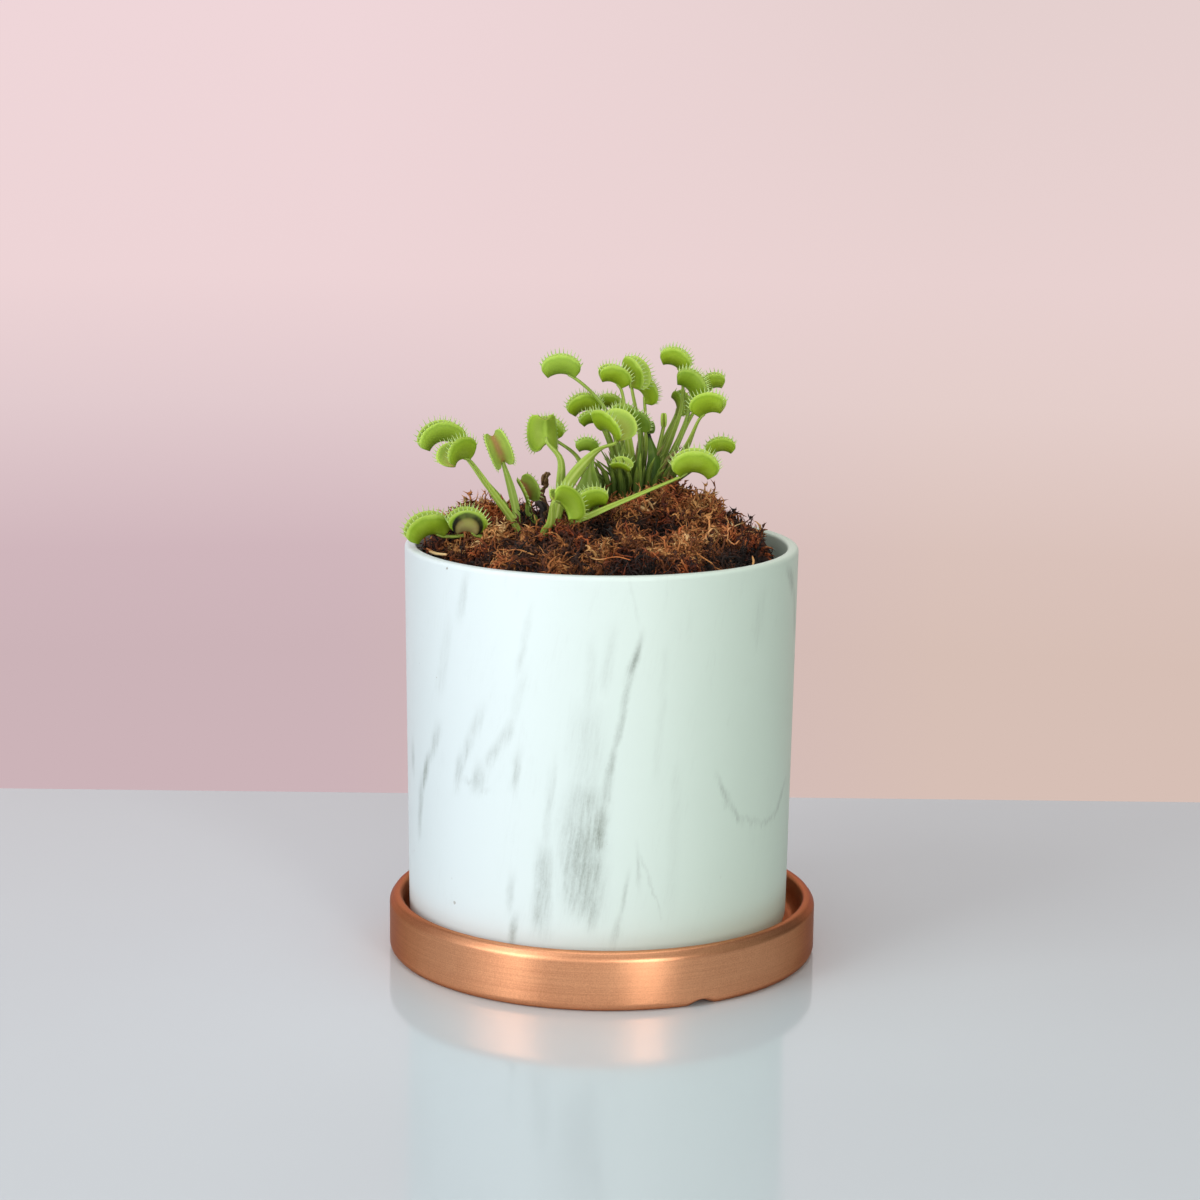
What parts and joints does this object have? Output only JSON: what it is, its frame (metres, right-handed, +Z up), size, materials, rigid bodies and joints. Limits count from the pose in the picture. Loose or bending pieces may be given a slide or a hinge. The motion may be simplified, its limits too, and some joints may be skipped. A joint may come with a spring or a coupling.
{
  "type": "potted venus flytrap",
  "caption": "Small venus flytrap plants standing in a mound of sphagnum moss in a cylindrical marbled ceramic pot on a low round copper-coloured saucer.",
  "frame": {"origin": "middle of the saucer's underside, on the surface that it stands on", "axes": "+Z up; -Y is the front that the picture shows; +X is the picture's right"},
  "size_m": [0.1322, 0.1322, 0.187],
  "materials": {
    "saucer_glaze": "metallic copper-coloured satin glaze",
    "pot_glaze": "satin white with soft grey marble veins",
    "moss": "rough, damp, long-fibre, reddish brown",
    "leaf": "satin, fleshy, bright green with pinkish trap interiors",
    "dead_leaf": "dry, dark brown to black"
  },
  "bodies": {
    "root": {"saucer": "saucer_glaze", "pot": "pot_glaze", "moss": "moss", "left_leaf_1": "leaf", "left_leaf_2": "leaf", "left_leaf_3": "leaf", "left_leaf_4": "leaf", "left_leaf_5": "leaf", "left_leaf_6": "leaf", "middle_leaf_1": "leaf", "middle_leaf_2": "leaf", "middle_leaf_3": "leaf", "middle_leaf_4": "leaf", "middle_leaf_5": "leaf", "middle_leaf_6": "leaf", "middle_leaf_7": "leaf", "middle_leaf_8": "leaf", "right_leaf_1": "leaf", "right_leaf_2": "leaf", "right_leaf_3": "leaf", "right_leaf_4": "leaf", "right_leaf_5": "leaf", "right_leaf_6": "leaf", "right_leaf_7": "leaf", "right_leaf_8": "leaf", "right_leaf_9": "leaf", "right_leaf_10": "leaf", "right_leaf_11": "leaf", "right_leaf_12": "leaf", "right_leaf_13": "leaf", "right_leaf_14": "leaf", "right_leaf_15": "leaf", "right_leaf_16": "leaf", "right_leaf_17": "leaf", "dead_leaf_curled": "dead_leaf", "dead_leaf_black": "dead_leaf"}
  },
  "joints": []
}
